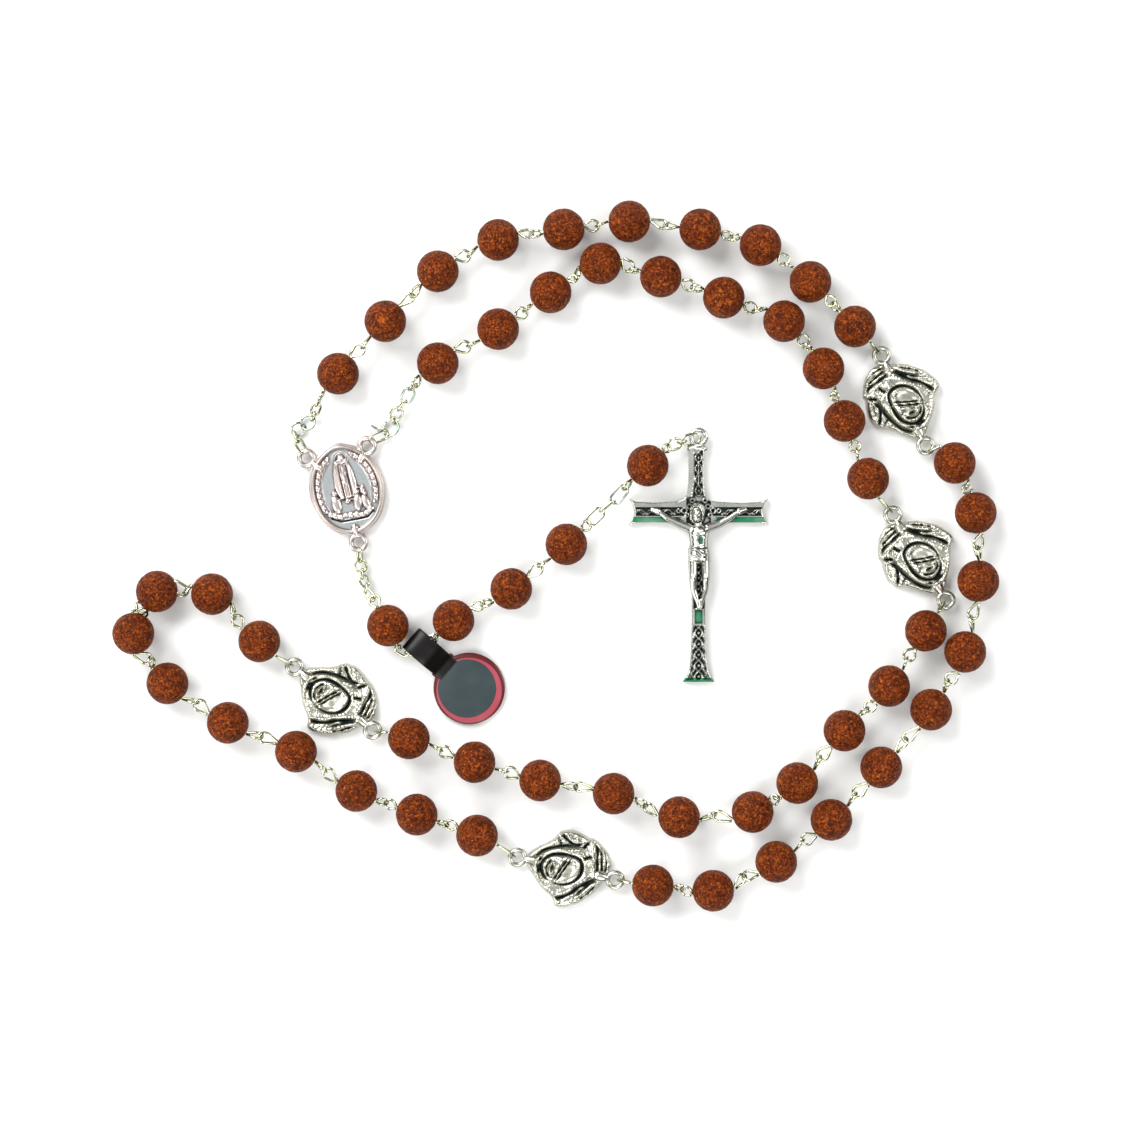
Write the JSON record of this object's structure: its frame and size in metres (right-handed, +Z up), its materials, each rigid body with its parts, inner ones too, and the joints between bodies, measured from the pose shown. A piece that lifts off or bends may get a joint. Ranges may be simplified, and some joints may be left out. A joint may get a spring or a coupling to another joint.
{
  "type": "rosary",
  "caption": "Rosary laid flat: round wooden beads on wire links, cast rose beads, oval centre medal, pendant with a flared crucifix, and a round swing tag on a strap.",
  "frame": {"origin": "middle of the centre medal on its back face, which lies on the table", "axes": "+Z up off the table, +X from the medal along the pendant side towards the far end of the loop, +Y towards the outer strand that leaves the left lug"},
  "size_m": [0.169, 0.1355, 0.008],
  "materials": {
    "bead": "pressed brown bead paste with a fine crackled grain, satin",
    "wire": "bright silvered wire",
    "casting": "antique silver with dark oxidised recesses",
    "corpus": "polished antique silver",
    "tag": "glossy printed plastic"
  },
  "bodies": {
    "medal": {"medal": "casting"},
    "chain_left": {"chain_left": "wire"},
    "decade_1_bead_01": {"decade_1_bead_01": "bead"},
    "decade_1_bead_02": {"decade_1_bead_02": "bead"},
    "decade_1_bead_03": {"decade_1_bead_03": "bead"},
    "decade_1_bead_04": {"decade_1_bead_04": "bead"},
    "decade_1_bead_05": {"decade_1_bead_05": "bead"},
    "decade_1_bead_06": {"decade_1_bead_06": "bead"},
    "decade_1_bead_07": {"decade_1_bead_07": "bead"},
    "decade_1_bead_08": {"decade_1_bead_08": "bead"},
    "decade_1_bead_09": {"decade_1_bead_09": "bead"},
    "decade_1_bead_10": {"decade_1_bead_10": "bead"},
    "rose_1": {"rose_1": "casting"},
    "decade_2_beads_1_to_2": {"decade_2_beads_1_to_2": "bead"},
    "decade_2_bead_03": {"decade_2_bead_03": "bead"},
    "decade_2_bead_04": {"decade_2_bead_04": "bead"},
    "decade_2_bead_05": {"decade_2_bead_05": "bead"},
    "decade_2_bead_06": {"decade_2_bead_06": "bead"},
    "decade_2_bead_07": {"decade_2_bead_07": "bead"},
    "decade_2_bead_08": {"decade_2_bead_08": "bead"},
    "decade_2_bead_09": {"decade_2_bead_09": "bead"},
    "decade_2_bead_10": {"decade_2_bead_10": "bead"},
    "rose_2": {"rose_2": "casting"},
    "decade_3_bead_01": {"decade_3_bead_01": "bead"},
    "decade_3_bead_02": {"decade_3_bead_02": "bead"},
    "decade_3_bead_03": {"decade_3_bead_03": "bead"},
    "decade_3_bead_04": {"decade_3_bead_04": "bead"},
    "decade_3_bead_05": {"decade_3_bead_05": "bead"},
    "chain_right": {"chain_right": "wire"},
    "decade_5_bead_10": {"decade_5_bead_10": "bead"},
    "decade_5_bead_09": {"decade_5_bead_09": "bead"},
    "decade_5_bead_08": {"decade_5_bead_08": "bead"},
    "decade_5_bead_07": {"decade_5_bead_07": "bead"},
    "decade_5_bead_06": {"decade_5_bead_06": "bead"},
    "decade_5_bead_05": {"decade_5_bead_05": "bead"},
    "decade_5_bead_04": {"decade_5_bead_04": "bead"},
    "decade_5_beads_2_to_3": {"decade_5_beads_2_to_3": "bead"},
    "decade_5_bead_01": {"decade_5_bead_01": "bead"},
    "rose_4": {"rose_4": "casting"},
    "decade_4_bead_10": {"decade_4_bead_10": "bead"},
    "decade_4_bead_09": {"decade_4_bead_09": "bead"},
    "decade_4_bead_08": {"decade_4_bead_08": "bead"},
    "decade_4_beads_6_to_7": {"decade_4_beads_6_to_7": "bead"},
    "decade_4_bead_05": {"decade_4_bead_05": "bead"},
    "decade_4_bead_04": {"decade_4_bead_04": "bead"},
    "decade_4_bead_03": {"decade_4_bead_03": "bead"},
    "decade_4_bead_02": {"decade_4_bead_02": "bead"},
    "decade_4_bead_01": {"decade_4_bead_01": "bead"},
    "rose_3": {"rose_3": "casting"},
    "decade_3_bead_10": {"decade_3_bead_10": "bead"},
    "decade_3_beads_7_to_9": {"decade_3_beads_7_to_9": "bead"},
    "decade_3_bead_06": {"decade_3_bead_06": "bead"},
    "pendant_bead_1": {"pendant_bead_1": "bead"},
    "pendant_bead_2": {"pendant_bead_2": "bead"},
    "pendant_bead_3": {"pendant_bead_3": "bead"},
    "pendant_bead_4": {"pendant_bead_4": "bead"},
    "pendant_bead_5": {"pendant_bead_5": "bead"},
    "crucifix": {"crucifix": "casting", "corpus": "corpus"},
    "tag": {"tag": "tag"}
  },
  "joints": [
    {"name": "chain_left_hinge", "type": "hinge", "parent": "medal", "child": "chain_left", "pos_m": [-0.00826, 0.00727, 0.0018], "axis": [-0.9196, -0.3929, 0], "range_deg": [-25, 25]},
    {"name": "decade_1_bead_01_hinge", "type": "hinge", "parent": "chain_left", "child": "decade_1_bead_01", "pos_m": [-0.00491, 0.01726, 0.004], "axis": [0.8113, -0.5846, 0], "range_deg": [-25, 25]},
    {"name": "decade_1_bead_02_hinge", "type": "hinge", "parent": "decade_1_bead_01", "child": "decade_1_bead_02", "pos_m": [0.00329, 0.02732, 0.004], "axis": [-0.7433, 0.669, 0], "range_deg": [-25, 25]},
    {"name": "decade_1_bead_03_hinge", "type": "hinge", "parent": "decade_1_bead_02", "child": "decade_1_bead_03", "pos_m": [0.01284, 0.03707, 0.004], "axis": [0.6887, -0.725, 0], "range_deg": [-25, 25]},
    {"name": "decade_1_bead_04_hinge", "type": "hinge", "parent": "decade_1_bead_03", "child": "decade_1_bead_04", "pos_m": [0.0236, 0.04468, 0.004], "axis": [-0.4626, 0.8866, 0], "range_deg": [-25, 25]},
    {"name": "decade_1_bead_05_hinge", "type": "hinge", "parent": "decade_1_bead_04", "child": "decade_1_bead_05", "pos_m": [0.03562, 0.04856, 0.004], "axis": [0.158, -0.9874, 0], "range_deg": [-25, 25]},
    {"name": "decade_1_bead_06_hinge", "type": "hinge", "parent": "decade_1_bead_05", "child": "decade_1_bead_06", "pos_m": [0.04811, 0.05029, 0.004], "axis": [-0.1191, 0.9929, 0], "range_deg": [-25, 25]},
    {"name": "decade_1_bead_07_hinge", "type": "hinge", "parent": "decade_1_bead_06", "child": "decade_1_bead_07", "pos_m": [0.06119, 0.0502, 0.004], "axis": [-0.1104, -0.9939, 0], "range_deg": [-25, 25]},
    {"name": "decade_1_bead_08_hinge", "type": "hinge", "parent": "decade_1_bead_07", "child": "decade_1_bead_08", "pos_m": [0.07355, 0.04792, 0.004], "axis": [0.2524, 0.9676, 0], "range_deg": [-25, 25]},
    {"name": "decade_1_bead_09_hinge", "type": "hinge", "parent": "decade_1_bead_08", "child": "decade_1_bead_09", "pos_m": [0.084, 0.04282, 0.004], "axis": [-0.5932, -0.8051, 0], "range_deg": [-25, 25]},
    {"name": "decade_1_bead_10_hinge", "type": "hinge", "parent": "decade_1_bead_09", "child": "decade_1_bead_10", "pos_m": [0.09298, 0.03502, 0.004], "axis": [0.7071, 0.7071, 0], "range_deg": [-25, 25]},
    {"name": "rose_1_hinge", "type": "hinge", "parent": "decade_1_bead_10", "child": "rose_1", "pos_m": [0.10129, 0.02664, 0.0018], "axis": [-0.7124, -0.7018, 0], "range_deg": [-25, 25]},
    {"name": "decade_2_beads_1_to_2_hinge", "type": "hinge", "parent": "rose_1", "child": "decade_2_beads_1_to_2", "pos_m": [0.11191, 0.00761, 0.0018], "axis": [0.5373, 0.8434, 0], "range_deg": [-25, 25]},
    {"name": "decade_2_bead_03_hinge", "type": "hinge", "parent": "decade_2_beads_1_to_2", "child": "decade_2_bead_03", "pos_m": [0.12026, -0.0114, 0.004], "axis": [-0.9993, -0.0384, 0], "range_deg": [-25, 25]},
    {"name": "decade_2_bead_04_hinge", "type": "hinge", "parent": "decade_2_bead_03", "child": "decade_2_bead_04", "pos_m": [0.11917, -0.0247, 0.004], "axis": [0.9833, -0.1821, 0], "range_deg": [-25, 25]},
    {"name": "decade_2_bead_05_hinge", "type": "hinge", "parent": "decade_2_bead_04", "child": "decade_2_bead_05", "pos_m": [0.11456, -0.03683, 0.004], "axis": [-0.8609, 0.5087, 0], "range_deg": [-25, 25]},
    {"name": "decade_2_bead_06_hinge", "type": "hinge", "parent": "decade_2_bead_05", "child": "decade_2_bead_06", "pos_m": [0.10641, -0.0479, 0.004], "axis": [0.7568, -0.6536, 0], "range_deg": [-25, 25]},
    {"name": "decade_2_bead_07_hinge", "type": "hinge", "parent": "decade_2_bead_06", "child": "decade_2_bead_07", "pos_m": [0.09693, -0.05834, 0.004], "axis": [-0.725, 0.6887, 0], "range_deg": [-25, 25]},
    {"name": "decade_2_bead_08_hinge", "type": "hinge", "parent": "decade_2_bead_07", "child": "decade_2_bead_08", "pos_m": [0.08692, -0.06725, 0.004], "axis": [0.606, -0.7954, 0], "range_deg": [-25, 25]},
    {"name": "decade_2_bead_09_hinge", "type": "hinge", "parent": "decade_2_bead_08", "child": "decade_2_bead_09", "pos_m": [0.07562, -0.07392, 0.004], "axis": [-0.4167, 0.9091, 0], "range_deg": [-25, 25]},
    {"name": "decade_2_bead_10_hinge", "type": "hinge", "parent": "decade_2_bead_09", "child": "decade_2_bead_10", "pos_m": [0.06397, -0.07598, 0.004], "axis": [-0.0866, -0.9962, 0], "range_deg": [-25, 25]},
    {"name": "rose_2_hinge", "type": "hinge", "parent": "decade_2_bead_10", "child": "rose_2", "pos_m": [0.05276, -0.07483, 0.0018], "axis": [0.1168, 0.9932, 0], "range_deg": [-25, 25]},
    {"name": "decade_3_bead_01_hinge", "type": "hinge", "parent": "rose_2", "child": "decade_3_bead_01", "pos_m": [0.03141, -0.06964, 0.0018], "axis": [-0.4937, -0.8696, 0], "range_deg": [-25, 25]},
    {"name": "decade_3_bead_02_hinge", "type": "hinge", "parent": "decade_3_bead_01", "child": "decade_3_bead_02", "pos_m": [0.01893, -0.06389, 0.004], "axis": [0.3285, 0.9445, 0], "range_deg": [-25, 25]},
    {"name": "decade_3_bead_03_hinge", "type": "hinge", "parent": "decade_3_bead_02", "child": "decade_3_bead_03", "pos_m": [0.00743, -0.05962, 0.004], "axis": [-0.3644, -0.9312, 0], "range_deg": [-25, 25]},
    {"name": "decade_3_bead_04_hinge", "type": "hinge", "parent": "decade_3_bead_03", "child": "decade_3_bead_04", "pos_m": [-0.00413, -0.0535, 0.004], "axis": [0.5463, 0.8376, 0], "range_deg": [-25, 25]},
    {"name": "decade_3_bead_05_hinge", "type": "hinge", "parent": "decade_3_bead_04", "child": "decade_3_bead_05", "pos_m": [-0.01645, -0.04706, 0.004], "axis": [-0.3896, -0.921, 0], "range_deg": [-25, 25]},
    {"name": "chain_right_hinge", "type": "hinge", "parent": "medal", "child": "chain_right", "pos_m": [0.00476, 0.00948, 0.0018], "axis": [-0.8005, 0.5994, 0], "range_deg": [-25, 25]},
    {"name": "decade_5_bead_10_hinge", "type": "hinge", "parent": "chain_right", "child": "decade_5_bead_10", "pos_m": [0.01317, 0.01988, 0.004], "axis": [0.6897, -0.7241, 0], "range_deg": [-25, 25]},
    {"name": "decade_5_bead_09_hinge", "type": "hinge", "parent": "decade_5_bead_10", "child": "decade_5_bead_09", "pos_m": [0.02361, 0.02746, 0.004], "axis": [-0.4921, 0.8706, 0], "range_deg": [-25, 25]},
    {"name": "decade_5_bead_08_hinge", "type": "hinge", "parent": "decade_5_bead_09", "child": "decade_5_bead_08", "pos_m": [0.03428, 0.03419, 0.004], "axis": [0.5735, -0.8192, 0], "range_deg": [-25, 25]},
    {"name": "decade_5_bead_07_hinge", "type": "hinge", "parent": "decade_5_bead_08", "child": "decade_5_bead_07", "pos_m": [0.04396, 0.04037, 0.004], "axis": [-0.501, 0.8654, 0], "range_deg": [-25, 25]},
    {"name": "decade_5_bead_06_hinge", "type": "hinge", "parent": "decade_5_bead_07", "child": "decade_5_bead_06", "pos_m": [0.05455, 0.04169, 0.004], "axis": [-0.2124, -0.9772, 0], "range_deg": [-25, 25]},
    {"name": "decade_5_bead_05_hinge", "type": "hinge", "parent": "decade_5_bead_06", "child": "decade_5_bead_05", "pos_m": [0.06635, 0.03838, 0.004], "axis": [0.3162, 0.9487, 0], "range_deg": [-25, 25]},
    {"name": "decade_5_bead_04_hinge", "type": "hinge", "parent": "decade_5_bead_05", "child": "decade_5_bead_04", "pos_m": [0.07807, 0.03412, 0.004], "axis": [-0.3644, -0.9312, 0], "range_deg": [-25, 25]},
    {"name": "decade_5_beads_2_to_3_hinge", "type": "hinge", "parent": "decade_5_bead_04", "child": "decade_5_beads_2_to_3", "pos_m": [0.08744, 0.02727, 0.004], "axis": [0.7682, 0.6402, 0], "range_deg": [-25, 25]},
    {"name": "decade_5_bead_01_hinge", "type": "hinge", "parent": "decade_5_beads_2_to_3", "child": "decade_5_bead_01", "pos_m": [0.09737, 0.00721, 0.004], "axis": [-0.9255, -0.3786, 0], "range_deg": [-25, 25]},
    {"name": "rose_4_hinge", "type": "hinge", "parent": "decade_5_bead_01", "child": "rose_4", "pos_m": [0.10359, -0.0037, 0.0018], "axis": [0.813, 0.5823, 0], "range_deg": [-25, 25]},
    {"name": "decade_4_bead_10_hinge", "type": "hinge", "parent": "rose_4", "child": "decade_4_bead_10", "pos_m": [0.11378, -0.02231, 0.0018], "axis": [-0.8201, 0.5722, 0], "range_deg": [-25, 25]},
    {"name": "decade_4_bead_09_hinge", "type": "hinge", "parent": "decade_4_bead_10", "child": "decade_4_bead_09", "pos_m": [0.1068, -0.03256, 0.004], "axis": [0.8321, -0.5547, 0], "range_deg": [-25, 25]},
    {"name": "decade_4_bead_08_hinge", "type": "hinge", "parent": "decade_4_bead_09", "child": "decade_4_bead_08", "pos_m": [0.09902, -0.04198, 0.004], "axis": [-0.7071, 0.7071, 0], "range_deg": [-25, 25]},
    {"name": "decade_4_beads_6_to_7_hinge", "type": "hinge", "parent": "decade_4_bead_08", "child": "decade_4_beads_6_to_7", "pos_m": [0.09021, -0.05132, 0.004], "axis": [0.7433, -0.669, 0], "range_deg": [-25, 25]},
    {"name": "decade_4_bead_05_hinge", "type": "hinge", "parent": "decade_4_beads_6_to_7", "child": "decade_4_bead_05", "pos_m": [0.07002, -0.06203, 0.004], "axis": [-0.0712, 0.9975, 0], "range_deg": [-25, 25]},
    {"name": "decade_4_bead_04_hinge", "type": "hinge", "parent": "decade_4_bead_05", "child": "decade_4_bead_04", "pos_m": [0.05685, -0.06011, 0.004], "axis": [-0.3387, -0.9409, 0], "range_deg": [-25, 25]},
    {"name": "decade_4_bead_03_hinge", "type": "hinge", "parent": "decade_4_bead_04", "child": "decade_4_bead_03", "pos_m": [0.04351, -0.05666, 0.004], "axis": [0.1758, 0.9844, 0], "range_deg": [-25, 25]},
    {"name": "decade_4_bead_02_hinge", "type": "hinge", "parent": "decade_4_bead_03", "child": "decade_4_bead_02", "pos_m": [0.03037, -0.05364, 0.004], "axis": [-0.2696, -0.963, 0], "range_deg": [-25, 25]},
    {"name": "decade_4_bead_01_hinge", "type": "hinge", "parent": "decade_4_bead_02", "child": "decade_4_bead_01", "pos_m": [0.01785, -0.04961, 0.004], "axis": [0.3387, 0.9409, 0], "range_deg": [-25, 25]},
    {"name": "rose_3_hinge", "type": "hinge", "parent": "decade_4_bead_01", "child": "rose_3", "pos_m": [0.00635, -0.04633, 0.0018], "axis": [-0.2029, -0.9792, 0], "range_deg": [-25, 25]},
    {"name": "decade_3_bead_10_hinge", "type": "hinge", "parent": "rose_3", "child": "decade_3_bead_10", "pos_m": [-0.01109, -0.0331, 0.0018], "axis": [0.6042, 0.7968, 0], "range_deg": [-25, 25]},
    {"name": "decade_3_beads_7_to_9_hinge", "type": "hinge", "parent": "decade_3_bead_10", "child": "decade_3_beads_7_to_9", "pos_m": [-0.02127, -0.02423, 0.004], "axis": [-0.7071, -0.7071, 0], "range_deg": [-25, 25]},
    {"name": "decade_3_bead_06_hinge", "type": "hinge", "parent": "decade_3_beads_7_to_9", "child": "decade_3_bead_06", "pos_m": [-0.03709, -0.03248, 0.004], "axis": [-0.8253, -0.5647, 0], "range_deg": [-25, 25]},
    {"name": "pendant_bead_1_hinge", "type": "hinge", "parent": "medal", "child": "pendant_bead_1", "pos_m": [0.0024, -0.01157, 0.0018], "axis": [0.9934, 0.1147, 0], "range_deg": [-25, 25]},
    {"name": "pendant_bead_2_hinge", "type": "hinge", "parent": "pendant_bead_1", "child": "pendant_bead_2", "pos_m": [0.01691, -0.02819, 0.003], "axis": [0.6644, -0.7474, 0], "range_deg": [-25, 25]},
    {"name": "pendant_bead_3_hinge", "type": "hinge", "parent": "pendant_bead_2", "child": "pendant_bead_3", "pos_m": [0.02632, -0.02183, 0.004], "axis": [-0.4789, 0.8779, 0], "range_deg": [-25, 25]},
    {"name": "pendant_bead_4_hinge", "type": "hinge", "parent": "pendant_bead_3", "child": "pendant_bead_4", "pos_m": [0.03709, -0.01447, 0.004], "axis": [0.6292, -0.7772, 0], "range_deg": [-25, 25]},
    {"name": "pendant_bead_5_hinge", "type": "hinge", "parent": "pendant_bead_4", "child": "pendant_bead_5", "pos_m": [0.05319, 0.00032, 0.004], "axis": [-0.6956, 0.7184, 0], "range_deg": [-25, 25]},
    {"name": "crucifix_hinge", "type": "hinge", "parent": "pendant_bead_5", "child": "crucifix", "pos_m": [0.0673, 0.01, 0.0018], "axis": [0, 0, 1], "range_deg": [-10, 35]},
    {"name": "tag_hinge", "type": "hinge", "parent": "pendant_bead_1", "child": "tag", "pos_m": [0.0147, -0.0304, 0.0023], "axis": [-0.6626, -0.749, 0], "range_deg": [0, 80]}
  ]
}
